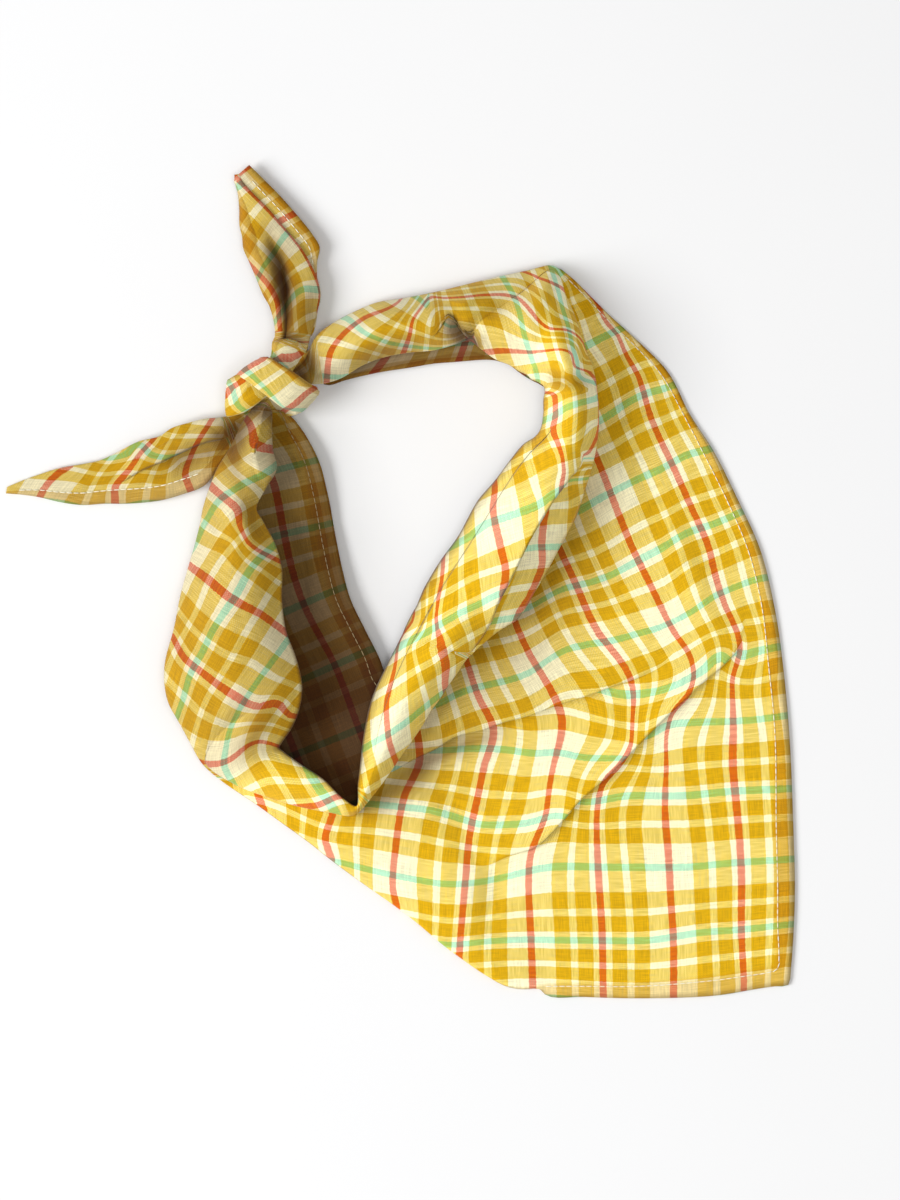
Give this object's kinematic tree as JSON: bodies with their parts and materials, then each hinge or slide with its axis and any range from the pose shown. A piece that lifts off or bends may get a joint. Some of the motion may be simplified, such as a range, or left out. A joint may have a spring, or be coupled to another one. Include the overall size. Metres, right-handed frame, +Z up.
{
  "type": "tied bandana",
  "caption": "Square cotton bandana folded to a triangle bib, with a rolled collar and its two ends tied in a flat knot, lying flat.",
  "frame": {"origin": "centre of the bounding box at the level of the surface the bandana lies on", "axes": "+Z up from the surface, +X towards the free point of the bib's right side, +Y towards the upper free end"},
  "size_m": [0.2951, 0.3134, 0.0284],
  "materials": {
    "cotton": "matte"
  },
  "bodies": {
    "root": {"bandana": "cotton"}
  },
  "joints": []
}
